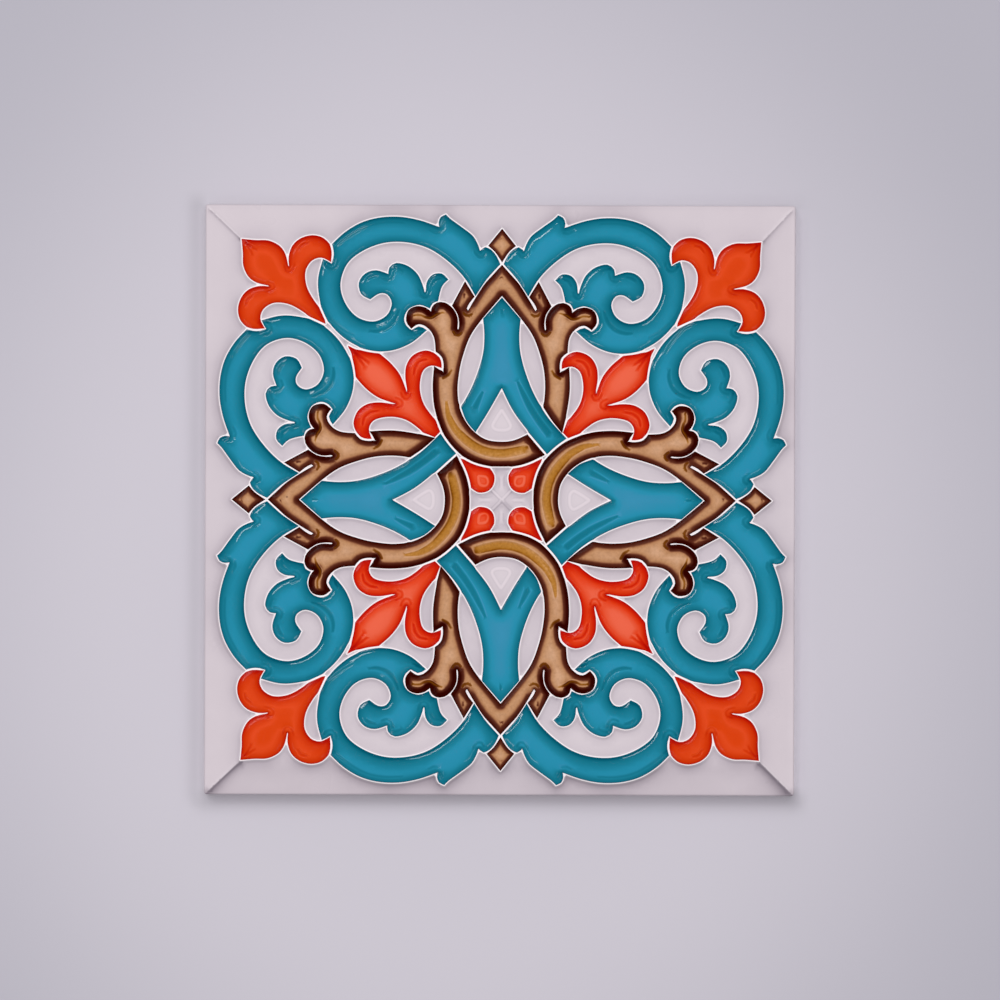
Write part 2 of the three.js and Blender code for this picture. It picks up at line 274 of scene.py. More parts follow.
innerGrooves = [
    groove(0.12, 0.06, 0.2, (-26.2, 27.5, 0.25), (-25.8, 26.5, 0.35), (-25, 25.9, 0.35),
           (-24, 26.2, 0.35), (-23.6, 27.4, 0.25), tone=0.26),
    groove(0.12, 0.06, 0.2, (-22.8, 32.4, 0.25), (-22.4, 34.1, 0.4), (-21.2, 35.6, 0.4),
           (-19.4, 36.1, 0.25), tone=0.34, light=0.14),
    groove(0.12, 0.05, 0.2, (-38.6, 38.5, 0.25), (-36.4, 36.8, 0.4), (-34.4, 35.4, 0.4), tone=0.34),
]
diamondGrooves = [groove(0.1, 0.03, 0.2, (-0.2, 67.2, 0.25), (0.2, 67.2, 0.25))]
strapSideGrooves = [
    groove(0.12, 0.05, 0.1, (-22.6, 47.4, 0.2), (-21, 47.5, 0.25), (-19.6, 46.9, 0.25),
           (-18.2, 46.8, 0.25), (-16.9, 47.6, 0.28), (-15.2, 48.2, 0.2), tone=0.36, light=0.24, honey=1),
    groove(0.12, 0.05, 0.1, (-12.5, 43.2, 0.2), (-11.9, 42.5, 0.28), (-11, 42.4, 0.28),
           (-10.3, 43.1, 0.2), tone=0.36, light=0.14, honey=1),
    groove(0.12, 0.05, 0.1, (-9.8, 48, 0.2), (-9.3, 47.5, 0.28), (-8.4, 47.4, 0.28),
           (-7.6, 47.9, 0.2), tone=0.34, light=0.12, honey=1),
    groove(0.14, 0.05, 0.1, (-13.1, 33.4, 0.25), (-13.8, 32.2, 0.3), (-15.4, 31.2, 0.25), tone=0.36,
           light=0.16, honey=1),
    groove(0.14, 0.05, 0.2, (-9.6, 52.9, 0.3), (-9.7, 51.9, 0.3), tone=0.22),
]
strapGrooves = [
    groove(0.14, 0.04, 0.2, (-0.2, 57.2, 0.3), (0.2, 57.2, 0.3), tone=0.3),
    groove(0.2, 0.06, 0.9, (-14.5, 25.2, 0.25), (-13.9, 21.6, 0.65), (-12.3, 18.5, 0.9),
           (-9.9, 15.9, 1.02), (-7, 13.8, 1.06), (-3.6, 12.45, 1.08), (0, 12.05, 1.08), (3.4, 12.5, 1.05),
           (6.2, 13.2, 1), tone=0.24, light=0.24, honey=1),
    groove(0.2, 0, 0.4, (-13.2, 21.6, 0.12), (-11.6, 18.8, 0.14), (-9.2, 16.5, 0.16), (-6.4, 14.5, 0.16),
           (-3.4, 13.3, 0.16), (0, 12.95, 0.16), (3, 13.4, 0.14), (5, 13.8, 0.12), tone=0.36, light=0,
           honey=1),
]
stemGrooves = [
    groove(0.06, 0, 0.75, (4.2, 30.4, 0.25), (5.5, 27.6, 0.55), (7.4, 24, 0.75), (9.6, 20.7, 0.8),
           (11.5, 18.3, 0.85), (12.5, 17.1, 0.85), tone=0.36, light=0.2),
    groove(0.06, 0, 0.7, (-5, 27.8, 0.25), (-6, 25.8, 0.55), (-7, 23.7, 0.75), tone=0.34, light=0.2),
    groove(0.14, 0.05, 0.2, (0, 49, 0.25), (0, 47.6, 0.4), tone=0.3),
]
dropGrooves = [
    groove(-0.08, 0, 0.2, (-6.3, 6.3, 0.2), (-4.8, 6.2, 0.28), (-4, 5.8, 0.3), (-3.7, 4.8, 0.3),
           (-4, 4, 0.3), (-4.8, 3.7, 0.3), (-5.8, 4, 0.3), (-6.2, 4.8, 0.28), (-6.3, 6.3, 0.2),
           tone=-0.36, light=-0.1),
]

# Fine raised lines of the white ground: the panel in each triangle and the star in the middle
whiteLines = [
    groove(-0.07, 0, 0.2, (0, 23.2, 0.3), (-1.5, 20.9, 0.3), (-2.4, 19.1, 0.3), (-1.6, 18.2, 0.3),
           (0, 18, 0.3), (1.6, 18.2, 0.3), (2.4, 19.1, 0.3), (1.5, 20.9, 0.3), (0, 23.2, 0.3),
           tone=-0.34, light=-0.12),
    groove(-0.09, 0, 0.2, (0.1, 0.1, 0.2), (1.4, 1.4, 0.2), (2.8, 2.8, 0.2), tone=-0.3, light=-0.16),
    groove(-0.06, 0, 0.2, (0, 3.6, 0.35), (0, 5.8, 0.35), tone=-0.26, light=-0.14),
]


def acrossCentreLine(point):
    return (-point[0], point[1], *point[2:])


def acrossDiagonal(point):
    return (-point[1], -point[0], *point[2:])


# Mirror image of a list of runs, walked the other way so that it carries on from their end
def mirrored(runs, across):
    return [[across(point) for point in reversed(run)] for run in reversed(runs)]


def mirroredGrooves(grooves, across):
    return [{**line, "points": [across(point) for point in line["points"]]} for line in grooves]


def bothSides(items, across, mirror):
    return [*items, *mirror(items, across)]


innerBase = [innerFlowerHalf[-1][-1], acrossDiagonal(innerFlowerHalf[-1][-1])]
otherScroll = mirrored(scroll, acrossCentreLine)
# Dark pools along the strap's lobes, under the flower's tip and along the loop's outer side, and light
# ends to the slits: the runs that they lie beside, their reach and how much darker they are
poolsBySide = [(strapLeafSide[8:10], 3.0, 0.3), (strapLeafSide[12:13], 1.8, 0.3),
               (strapLeafSide[6:7], 1.8, -0.26), (strapLeafSide[1:2], 1.8, -0.26)]
strapPools = [(run, reach, depth) for chosen, reach, depth in poolsBySide
              for run in bothSides(chosen, acrossCentreLine, mirrored)] + [(strapLoop[0], 2.6, 0.2)]

# The cells: "bright" multiplies the tone, "rise" the crown, and "ends" are cuts that the glaze is dark
# beside, with how far the darkest part reaches
cellKinds = [
    {"glaze": "cornerRed", "runs": bothSides(cornerFlowerHalf, acrossDiagonal, mirrored),
     "grooves": bothSides(cornerGrooves, acrossDiagonal, mirroredGrooves), "bright": 1.04},
    {"glaze": "innerRed", "runs": [*innerFlowerHalf, innerBase, *mirrored(innerFlowerHalf, acrossDiagonal)],
     "grooves": bothSides(innerGrooves, acrossDiagonal, mirroredGrooves), "bright": 1.07},
    {"glaze": "teal", "runs": scroll, "grooves": scrollGrooves, "bright": 0.94,
     "pools": [(scroll[1], 4.2, 0.1)]},
    {"glaze": "teal", "runs": otherScroll, "grooves": mirroredGrooves(scrollGrooves, acrossCentreLine),
     "bright": 0.94, "pools": [(otherScroll[-2], 4.2, 0.1)]},
    {"glaze": "brown", "runs": bothSides(diamondHalf, acrossCentreLine, mirrored), "grooves": diamondGrooves,
     "bright": 1.3},
    {"glaze": "brown", "runs": [*strapLeafSide, *strapLoop, *mirrored(strapLeafSide, acrossCentreLine)],
     "grooves": [*bothSides(strapSideGrooves, acrossCentreLine, mirroredGrooves), *strapGrooves],
     "pools": strapPools, "ends": [(strapLoop[1], 0.5), (strapLoop[4], 0.25)]},
    {"glaze": "teal", "runs": forkedStem, "grooves": stemGrooves, "rise": 0.65},
    {"glaze": "innerRed", "runs": drop, "grooves": dropGrooves, "bright": 1.2},
]
glazes = ["white", "teal", "cornerRed", "innerRed", "brown", "biscuit"]


# Smooth curve through a run's points, without its last point; widths ride along as a third column
def curveThrough(run, step):
    points = np.array([run[0], *run, run[-1]], float)
    samples = []
    for before, start, end, after in zip(points, points[1:], points[2:], points[3:]):
        count = max(1, round(math.dist(start[:2], end[:2]) / step))
        t = np.arange(count)[:, None] / count
        leave, arrive = (end - before) / 2, (after - start) / 2
        samples.append((2 * start - 2 * end + leave + arrive) * t ** 3
                       + (3 * end - 3 * start - 2 * leave - arrive) * t ** 2 + leave * t + start)
    return np.vstack(samples)


def smooth(value):
    value = np.clip(value, 0, 1)
    return value * value * (3 - 2 * value)


def driftAt(place):
    away = np.linalg.norm(place, axis=1)[:, None]
    turn = np.arctan2(place[:, 1], place[:, 0]) / (math.pi / 4) % 8
    start = np.floor(turn).astype(int)
    share = (turn - start)[:, None]
    rings = [np.array(ring)[start % 8] * (1 - share) + np.array(ring)[(start + 1) % 8] * share
             for ring in drift["off"]]
    near, middle, far = drift["reach"]
    off = rings[0] + (rings[1] - rings[0]) * smooth((away - near) / (middle - near))
    off += (rings[2] - off) * smooth((away - middle) / (far - middle))
    return off * np.minimum(away / 6, 1)


def quarterTurned(x, y, quarter):
    return [(x, y), (-y, x), (-x, -y), (y, -x)][quarter]


def placed(points, quarter):
    turned = np.column_stack(quarterTurned(points[:, 0], points[:, 1], quarter))
    out = points.copy()
    out[:, :2] = turned + driftAt(turned) + relief["shift"]
    return out


def traced(run, step, quarter):
    return placed(curveThrough(run, step), quarter)


def signedArea(points):
    x, y = points[:, 0], points[:, 1]
    return 0.5 * np.sum(x * np.roll(y, -1) - np.roll(x, -1) * y)


def outlineOf(runs, step, quarter):
    points = np.vstack([traced(run, step, quarter) for run in runs])
    points = points if signedArea(points) > 0 else points[::-1]
    edges = np.roll(points, -1, axis=0) - points
    edges /= np.linalg.norm(edges, axis=1)[:, None]
    both = edges + np.roll(edges, 1, axis=0)
    outward = np.column_stack([both[:, 1], -both[:, 0]])
    size = np.maximum(np.linalg.norm(outward, axis=1), 0.9)
    return points + outward * (2 * relief["swell"] / size ** 2)[:, None]


# Points at a distance from a closed outline: positive is outside
def rowBeside(outline, distance):
    edges = np.roll(outline, -1, axis=0) - outline
    edges /= np.linalg.norm(edges, axis=1)[:, None]
    before = np.roll(edges, 1, axis=0)
    turns = np.arctan2(before[:, 0] * edges[:, 1] - before[:, 1] * edges[:, 0],
                       np.sum(before * edges, axis=1))
    opens = turns * math.copysign(1, distance) > relief["fanTurn"]
    row = []
    for point, edge, last, turn, fan in zip(outline, edges, before, turns, opens):
        start = math.atan2(-last[0], last[1])
        if fan:
            count = 1 + math.ceil(abs(distance * turn) / 0.3)
            headings = [start + turn * step / count for step in range(count + 1)]
            reach = distance
        elif abs(turn) < 2:
            headings = [start + turn / 2]
            reach = distance / math.cos(turn / 2)
        else:
            continue
        row += [(point[0] + reach * math.cos(a), point[1] + reach * math.sin(a)) for a in headings]
    return row


def rowsAlong(line):
    path = line["path"]
    along = np.gradient(path[:, :2], axis=0)
    along /= np.linalg.norm(along, axis=1)[:, None] + 1e-9
    across = np.stack([-along[:, 1], along[:, 0]], axis=1)
    half = path[:, 2:3]
    rows = [path[::3, :2]]
    for offset in (half * 0.5, half, half + relief["lipWidth"], half + 2 * relief["lipWidth"]):
        for side in (-1, 1):
            rows.append((path[:, :2] + across * side * offset)[::3])
    return np.vstack(rows)


# Keeps the points that are further than a gap from those kept before them
def thinned(points, gap, kept):
    held = {}
    for x, y in kept:
        held.setdefault((int(x // gap), int(y // gap)), []).append((x, y))
    out = []
    for x, y in points:
        column, row = int(x // gap), int(y // gap)
        near = [other for i in (-1, 0, 1) for j in (-1, 0, 1)
                for other in held.get((column + i, row + j), ())]
        if all((x - a) ** 2 + (y - b) ** 2 > gap * gap for a, b in near):
            held.setdefault((column, row), []).append((x, y))
            out.append((x, y))
    return out


def treeOf(points):
    tree = KDTree(len(points))
    for index, (x, y) in enumerate(points):
        tree.insert((x, y, 0), index)
    tree.balance()
    return tree


def placedLine(line, quarter):
    return {**line, "path": traced(line["points"], relief["lineStep"], quarter)}


def cellOf(kind, quarter):
    beside = {name: [(traced(run, relief["poolStep"], quarter), *rest) for run, *rest in kind.get(name, [])]
              for name in ("pools", "ends")}
    return {
        "glaze": glazes.index(kind["glaze"]),
        "outline": outlineOf(kind["runs"], relief["outlineStep"], quarter),
        "fine": outlineOf(kind["runs"], relief["searchStep"], quarter),
        "grooves": [placedLine(line, quarter) for line in kind["grooves"]],
        "bright": kind.get("bright", 1),
        "rise": kind.get("rise", 1),
        **beside,
    }


cells = [cellOf(kind, quarter) for kind in cellKinds for quarter in range(4)]
groundLines = [placedLine(line, quarter) for line in whiteLines for quarter in range(4)]


# Where two cells all but touch, their outlines close up until only the ridge between them is left
def closeSeams():
    tree = treeOf(np.vstack([cell["fine"] for cell in cells]))
    home = np.repeat(np.arange(len(cells)), [len(cell["fine"]) for cell in cells])
    closed = []
    for index, cell in enumerate(cells):
        for name in ("outline", "fine"):
            points = cell[name].copy()
            for row, (x, y) in enumerate(cell[name]):
                near = [hit for hit in tree.find_range((x, y, 0), relief["seamFrom"])
                        if home[hit[1]] != index]
                if near:
                    other, _, gap = min(near, key=lambda hit: hit[2])
                    share = smooth((relief["seamFrom"] - gap) / (relief["seamFrom"] - relief["seamFull"]))
                    step = max(gap - relief["seam"], 0) / 2 * share / gap
                    points[row] += (np.array(other[:2]) - points[row]) * step
            closed.append((cell, name, points))
    for cell, name, points in closed:
        cell[name] = points


closeSeams()
print("outlines:", len(cells), "cells,", sum(len(cell["outline"]) for cell in cells), "points")


# Edge of the moulded face: a square with slightly rounded corners
def faceEdge():
    half = slab["half"] - slab["rimRound"]
    radius = slab["cornerRound"]
    straight = 2 * (half - radius)
    count = round(straight / slab["edgeStep"])
    side = [(half, -half + radius + straight * step / count) for step in range(count + 1)]
    arc = [(half - radius + radius * math.cos(a), half - radius + radius * math.sin(a))
           for a in (math.pi / 8, math.pi / 4, math.pi * 3 / 8)]
    return [quarterTurned(x, y, quarter) for quarter in range(4) for x, y in [*side, *arc]]


# Mitre lines: from the tips of the corner flowers to the corners of the slab, "stop" short of them. A painted
# shadow darkens the glaze along the lower side of each, by "dark", over a strip whose width is given at
# both ends, and by "nub" at the corner itself.
mitre = {
    "rise": 0.2, "half": 0.5, "stop": 0.9,
    "step": 0.8, "rows": [0, 0.22, -0.22, 0.45, -0.45, 0.75, -0.75, 1.2, -1.2],
    "dark": [0.42, 0.62, 0.66, 0.4],
    "strip": [(0.5, 0.5), (0.8, 1.5), (0.9, 2.6), (0.7, 0.7)],
    "nub": [0, 0.5, 0.5, 0],
}


def mitreLines():
    lines = []
    for quarter, (sx, sy) in enumerate([(-1, 1), (-1, -1), (1, -1), (1, 1)]):
        tip = Vector(placed(np.array([cornerFlowerHalf[0][0]], float), quarter)[0])
        corner = Vector((sx, sy)) * (slab["half"] - mitre["stop"])
        lines.append((tip, corner))
    return lines


def meshPoints(tree):
    half = slab["half"] - slab["rimRound"]
    outlinePoints = [tuple(point) for cell in cells for point in cell["outline"]]
    edge = faceEdge()
    rows = []
    for cell in cells:
        inner = relief["strapRows"] if glazes[cell["glaze"]] == "brown" else relief["innerRows"]
        for distance in [*relief["outerRows"], *[-depth for depth in inner]]:
            for x, y in rowBeside(cell["outline"], distance):
                if tree.find((x, y, 0))[2] > relief["rowClear"] * abs(distance):
                    rows.append((x, y))
    grooves = [line for cell in cells for line in cell["grooves"]] + groundLines
    lines = [tuple(point) for line in grooves for point in rowsAlong(line)]
    lines = [(x, y) for x, y in lines if tree.find((x, y, 0))[2] > relief["lineClear"]]
    for start, end in mitreLines():
        across = (end - start).orthogonal().normalized()
        steps = round((end - start).length / mitre["step"])
        for step in range(1, steps + 1):
            for offset in mitre["rows"]:
                lines.append(tuple(start.lerp(end, step / steps) + across * offset))
    fill = []
    step = relief["fillStep"]
    for row in range(int(-half / step), int(half / step) + 1):
        for column in range(int(-half / step), int(half / step) + 1):
            x, y = step * (column + 0.5 * (row % 2)), step * 0.98 * row
            if max(abs(x), abs(y)) < half - 0.6 * step and tree.find((x, y, 0))[2] > relief["fillFrom"]:
                fill.append((x, y))
    for start in np.linspace(-half + 1, half - 1, 121):
        for depth in relief["rimRows"]:
            fill += [(start, half - depth), (start, depth - half),
                     (half - depth, start), (depth - half, start)]
    inside = [point for point in [*lines, *rows, *fill] if max(abs(point[0]), abs(point[1])) < half - 0.2]
    first = [*outlinePoints, *edge]
    return [*first, *thinned(inside, relief["closest"], first)]


# Triangles of the face, each with the cell that it lies in, or -1 on the white ground
def triangulate(points):
    polygons = []
    first = 0
    for cell in cells:
        polygons.append(list(range(first, first + len(cell["outline"]))))
        first += len(cell["outline"])
    out = delaunay_2d_cdt([Vector(point) for point in points], [], polygons, 0, 1e-6)
    flat = np.array([tuple(vert) for vert in out[0]])
    triangles = np.array(out[2])
    owners = np.array([owner[0] if owner else -1 for owner in out[5]])
    return flat, triangles, owners


# Soap film over the face, held at nought on the outlines and rising to one within its reach: the
# solution of u = 1 + reach squared times its Laplacian, by conjugate gradients
def filmOver(flat, triangles, held, reach):
    count = len(flat)
    i, j, k = triangles.T
    rows, columns, weights = [], [], []
    area = np.zeros(count)
    for a, b, c in ((i, j, k), (j, k, i), (k, i, j)):
        u, v = flat[a] - flat[c], flat[b] - flat[c]
        cross = np.maximum(u[:, 0] * v[:, 1] - u[:, 1] * v[:, 0], 1e-9)
        rows += [a, b]
        columns += [b, a]
        weights += [np.sum(u * v, axis=1) / cross / 2] * 2
        area += np.bincount(c, cross / 6, count)
    rows, columns, weights = (np.concatenate(part) for part in (rows, columns, weights))
    spring = area / reach ** 2
    diagonal = np.bincount(rows, weights, count) + spring
    free = ~held

    def pull(film):
        return (diagonal * film - np.bincount(rows, weights * film[columns], count)) * free

    film = np.zeros(count)
    rest = spring * free
    step = rest / diagonal
    energy = rest @ step
    target = energy * 1e-9
    for _ in range(600):
        pulled = pull(step)
        share = energy / (step @ pulled)
        film += share * step
        rest = rest - share * pulled
        eased = rest / diagonal
        last, energy = energy, rest @ eased
        if energy < target:
            break
        step = eased + energy / last * step
    return film


def bump(value):
    return np.cos(np.clip(np.abs(value), 0, 1) * math.pi / 2) ** 2


# Height of the ground under the glaze, the hipped border and its mitre lines, with the painted shadow along
# the mitre lines
def groundUnder(flat):
    half, field = slab["half"], slab["half"] - slab["border"]
    out = np.max(np.abs(flat), axis=1)
    fall = smooth((out - field + 2) / 4) * np.maximum(out - field, 0)
    height = slab["ground"] - fall * (slab["ground"] - slab["rim"]) / (slab["border"] - slab["rimRound"])
    ridge, dark = np.zeros((2, len(flat)))
    for (start, end), depth, strip, nub in zip(mitreLines(), mitre["dark"], mitre["strip"], mitre["nub"]):
        start, end = np.array(start), np.array(end)
        length = np.linalg.norm(end - start)
        along = (end - start) / length
        reach = (flat - start) @ along
        across = np.array([-along[1], along[0]])
        below = (flat - start) @ across * -math.copysign(1, across[1])
        ends = smooth(reach / 0.6) * smooth((length - reach) / 0.8 + 0.5)
        ridge = np.maximum(ridge, mitre["rise"] * bump(below / mitre["half"]) * ends)
        width = strip[0] + (strip[1] - strip[0]) * np.clip(reach / length, 0, 1)
        # Painted shadow along the lower side of the mitre line, and at the corner
        dark += depth * ends * (below > 0.1) * np.exp(-((np.maximum(below - 0.35, 0)) / width))
        dark += nub * np.exp(-np.sum((flat - end) ** 2, axis=1) / 0.6)
    return height + ridge, ridge, dark


# How the tones vary: "lean" is painted shade, how much darker the side facing up is for each glaze, and
# on the white a painted shadow below each cell, "up" that way's direction, "ground" the white's tones from
# the outlines outwards, darker near them from pooled glaze and painted shade, "border" the four sides' own
# tones, the bottom one darker with painted shade, "rim" the painted light and shade that their edges add,
# and "star" the painted shade of the four facets in the middle
tones = {
    "up": (0.2, 0.98),
    "lean": {"white": 0.18, "teal": 0.26, "cornerRed": 0.24, "innerRed": 0.14, "brown": 0.035, "biscuit": 0},
    "leanReach": 3.2,
    "strapReach": 3.4,
    "ground": (0.3, 0.97),
    "groundReach": 2,
    "borderFrom": (64, 70),
    "rimFrom": (74.3, 75.2),
    # the bottom side's extra darkness is painted shade
    "border": {"right": -0.23, "top": -0.23, "left": -0.23, "bottom": -0.39},
    # painted light and shade where the face turns over its edges
    "rim": {"right": 0.05, "top": -0.05, "left": 0, "bottom": -0.02},
    "star": [0.25, 0.04, 0.3, 0.62],
    "starWidth": 1.1,
    "starReach": 4.2,
}


# How far each line presses the points of its cell down, and how far its lips stand up
def pressLines(flat, depth, tone, honey, inCell, lines):
    for line in lines:
        path = line["path"]
        reach = 3 * path[:, 2].max()
        low, high = path[:, :2].min(axis=0) - reach, path[:, :2].max(axis=0) + reach
        near = np.flatnonzero(inCell & np.all((flat > low) & (flat < high), axis=1))
        if not len(near):
            continue
        gaps = np.linalg.norm(flat[near, None] - path[None, :, :2], axis=2)
        closest = gaps.argmin(axis=1)
        gap = gaps[np.arange(len(near)), closest]
        half = path[closest, 2]
        wall = smooth((gap - half * line["flat"]) / (half * (1 - line["flat"]) + 0.12))
        lip = bump((gap - half - relief["lipWidth"]) / (1.3 * relief["lipWidth"]))
        pressed = -line["depth"] * (1 - wall) + line["lip"] * lip
        bolder = np.abs(pressed) > np.abs(depth[near])
        depth[near[bolder]] = pressed[bolder]
        # The lips' light is partly a painted highlight; below nought it is painted shade beside a raised line
        shift = line["light"] * lip - line["tone"] * (1 - wall)
        bolder = np.abs(shift) > np.abs(tone[near])
        tone[near[bolder]] = shift[bolder]
        honey[near] = np.maximum(honey[near], line["honey"] * (1 - wall))


def distancesTo(flat, points):
    tree = treeOf(points)
    return np.array([tree.find((x, y, 0))[2] for x, y in flat])


# Which of the four sides each point lies towards: right, top, left, bottom
def sideOf(flat):
    return np.round(np.arctan2(flat[:, 1], flat[:, 0]) / (math.pi / 2)).astype(int) % 4


# Tone is the lightness of the glaze, from 0 where it has pooled deepest to 1 on the broad crowns. It follows
# the film, is lower on the side of a cell that faces up the face, which is painted shade, and lower where
# glaze pools.
# On the white it also carries painted shade and shadow, and the painted light and shade of the edges.
def shapeFace():
    fine = np.vstack([cell["fine"] for cell in cells])
    tree = treeOf(fine)
    flat, triangles, owners = triangulate(meshPoints(tree))
    print("face:", len(flat), "points,", len(triangles), "triangles")
    count = len(flat)
    found = [tree.find((x, y, 0)) for x, y in flat]
    distance = np.array([hit[2] for hit in found])
    owner = np.full(count, -1)
    for corner in triangles.T:
        inside = owners >= 0
        owner[corner[inside]] = owners[inside]
    onEdge = np.zeros(count, bool)
    onEdge[:sum(len(cell["outline"]) for cell in cells)] = True
    distance[onEdge] = 0

    reach = np.where(owner >= 0, relief["crownReach"], relief["groundReach"])
    film = filmOver(flat, triangles, onEdge, reach)
    ground, mitreRidge, mitreShadow = groundUnder(flat)
    signed = np.where(owner >= 0, distance, -distance)
    ridge = bump((signed + relief["ridgeCentre"]) / relief["ridgeHalf"])
    away = np.array([tuple(hit[0]) for hit in found])[:, :2] - flat
    away *= np.where(owner >= 0, 1, -1)[:, None] / np.maximum(np.linalg.norm(away, axis=1), 0.05)[:, None]
    facing = away @ np.array(tones["up"]) * ~onEdge

    pressed, shift, honey = np.zeros((3, count))
    pressLines(flat, pressed, shift, honey, (owner < 0) & (distance > 0.5), groundLines)
    glazeOf = np.array([cell["glaze"] for cell in cells])
    glaze = np.where(owner >= 0, glazeOf[owner], 0)
    brown = glaze == glazes.index("brown")
    tone = np.where(brown, np.clip(distance / tones["strapReach"], 0, 1), film)
    lean = np.array([tones["lean"][name] for name in glazes])[glaze]
    # Painted shade: the side of each cell that faces up the face is darker
    tone -= lean * facing * np.clip(1 - distance / tones["leanReach"], 0, 1)
    for index, cell in enumerate(cells):
        mine = owner == index
        pressLines(flat, pressed, shift, honey, mine & (distance > 0.1), cell["grooves"])
        tone[mine] *= cell["bright"]
        where = np.flatnonzero(mine)
        for pool, poolReach, depth in cell["pools"]:
            near = distancesTo(flat[where], pool[:, :2]) / poolReach
            tone[where] -= depth * (1 - smooth(near))
        for cut, offset in cell["ends"]:
            beyond = (distancesTo(flat[where], cut[:, :2]) - offset) / tones["strapReach"]
            tone[where] = np.minimum(tone[where], np.maximum(beyond, 0))

    out = np.max(np.abs(flat), axis=1)
    border, rim = (smooth((out - start) / (end - start))
                   for start, end in (tones["borderFrom"], tones["rimFrom"]))
    borderToneAndShade, rimLightAndShade = (np.array([*tones[name].values()])[sideOf(flat)] for name in ("border", "rim"))
    # The white darkens towards the ridges: glaze pooled in the moat, and painted shade
    pale = tones["ground"][0] + (tones["ground"][1] - tones["ground"][0]) * film
    # Painted shadow on the white: darker just below each cell, lighter just above it
    groundPaintedShadow = tones["lean"]["white"] * facing * (1 - 0.5 * border)
    pale += groundPaintedShadow * np.clip(1 - distance / tones["groundReach"], 0, 1)
    # Painted shade on the bottom border, painted shadow beside the mitre lines, painted light and shade at
    # the edges
    pale += border * borderToneAndShade - mitreShadow + rimLightAndShade * rim
    middle = flat - np.array(relief["shift"])
    centre = np.max(np.abs(middle), axis=1)
    off = centre - np.min(np.abs(middle), axis=1)
    # Painted shade on the four facets in the middle, darkest on the bottom one
    star = np.array(tones["star"])[sideOf(middle)] * np.exp(-off / tones["starWidth"])
    star *= np.clip(1.3 - centre / tones["starReach"], 0, 1)
    tone = np.where(owner >= 0, tone, pale - star) + shift

    low = ground + relief["low"]
    pyramid = relief["pyramid"][0] * np.clip(1 - centre / relief["pyramid"][1], 0, 1)
    white = ground + relief["moat"] * (film - 1) + pyramid + pressed
    rise = np.array([cell["rise"] for cell in cells])[owner] * relief["crown"]
    height = np.where(owner >= 0, low + rise * film + pressed, white)
    blend = smooth(1 - distance / 0.3) * (owner < 0)
    height = height + (low - white) * blend + relief["ridgeRise"] * ridge
    height = np.minimum(height, slab["top"])
    first = np.count_nonzero(onEdge)
    height[first:first + len(faceEdge())] = slab["rim"]
    return {"flat": flat, "height": height, "triangles": triangles, "owners": owners, "tone": tone,
            "edge": signed, "ridge": np.maximum(ridge, mitreRidge / mitre["rise"] * 0.35),
            "honey": honey, "glazeOf": glazeOf}


face = shapeFace()


def faceObject():
    mesh = bpy.data.meshes.new("glazedTile")
    verts = np.column_stack([face["flat"], face["height"]]) * mm
    mesh.from_pydata(verts.tolist(), [], face["triangles"].tolist())
    for name in ("tone", "edge", "ridge", "honey"):
        mesh.attributes.new(name, "FLOAT", "POINT").data.foreach_set("value", face[name].astype(np.float32))
    slots = np.where(face["owners"] >= 0, face["glazeOf"][face["owners"]], 0)
    mesh.polygons.foreach_set("material_index", slots.astype(np.int32))
    tile = bpy.data.objects.new("glazedTile", mesh)
    bpy.context.collection.objects.link(tile)
    return tile


# The face's open edge is carried over the rim, down the sides, round the back's bevel and closed
def addBody(tile):
    bpy.ops.object.select_all(action="DESELECT")
    tile.select_set(True)
    bpy.context.view_layer.objects.active = tile
    bpy.ops.object.mode_set(mode="EDIT")
    bpy.ops.mesh.select_mode(type="EDGE")
    bpy.ops.mesh.select_all(action="DESELECT")
    bpy.ops.mesh.select_non_manifold(extend=False, use_wire=False, use_multi_face=False,
                                     use_non_contiguous=False, use_verts=False)
    half, radius = slab["half"], slab["rimRound"]
    rings = []
    for step in range(1, slab["rimSteps"] + 1):
        angle = math.pi / 2 * step / slab["rimSteps"]
        rings.append((half - radius + radius * math.sin(angle), slab["rim"] - radius * (1 - math.cos(angle))))
    rings += [(half, 4.6), (half, 2.2), (half, slab["backBevel"]), (half - slab["backBevel"], 0)]
    now, level = half - radius, slab["rim"]
    for ringHalf, ringLevel in rings:
        bpy.ops.mesh.extrude_region_move(TRANSFORM_OT_translate={"value": (0, 0, (ringLevel - level) * mm)})
        bpy.ops.transform.resize(value=(ringHalf / now, ringHalf / now, 1), center_override=(0, 0, 0))
        now, level = ringHalf, ringLevel
    bpy.ops.mesh.edge_face_add()
    bpy.ops.mesh.select_all(action="SELECT")
    bpy.ops.mesh.normals_make_consistent(inside=False)
    bpy.ops.mesh.select_all(action="DESELECT")
    bpy.ops.object.mode_set(mode="OBJECT")


def readAll(items, name, width=1, kind=float):
    values = np.zeros(len(items) * width, kind)
    items.foreach_get(name, values)
    return values.reshape(-1, width) if width > 1 else values


# The whole back is bare biscuit, and the bevel's edges are sharp
def finishBody(tile):
    mesh = tile.data
    heights = readAll(mesh.polygons, "center", 3)[:, 2] / mm
    slots = readAll(mesh.polygons, "material_index", kind=np.int32)
    slots[heights < slab["rim"] - slab["rimRound"] + 0.02] = 0
    slots[heights < slab["backBevel"] + 0.1] = glazes.index("biscuit")
    mesh.polygons.foreach_set("material_index", slots)
    mesh.polygons.foreach_set("use_smooth", np.ones(len(slots), bool))
    for edge in mesh.edges:
        heights = [mesh.vertices[index].co.z / mm for index in edge.vertices]
        edge.use_edge_sharp = max(heights) - min(heights) < 0.01 and max(heights) < slab["backBevel"] + 0.01
    mesh.update()


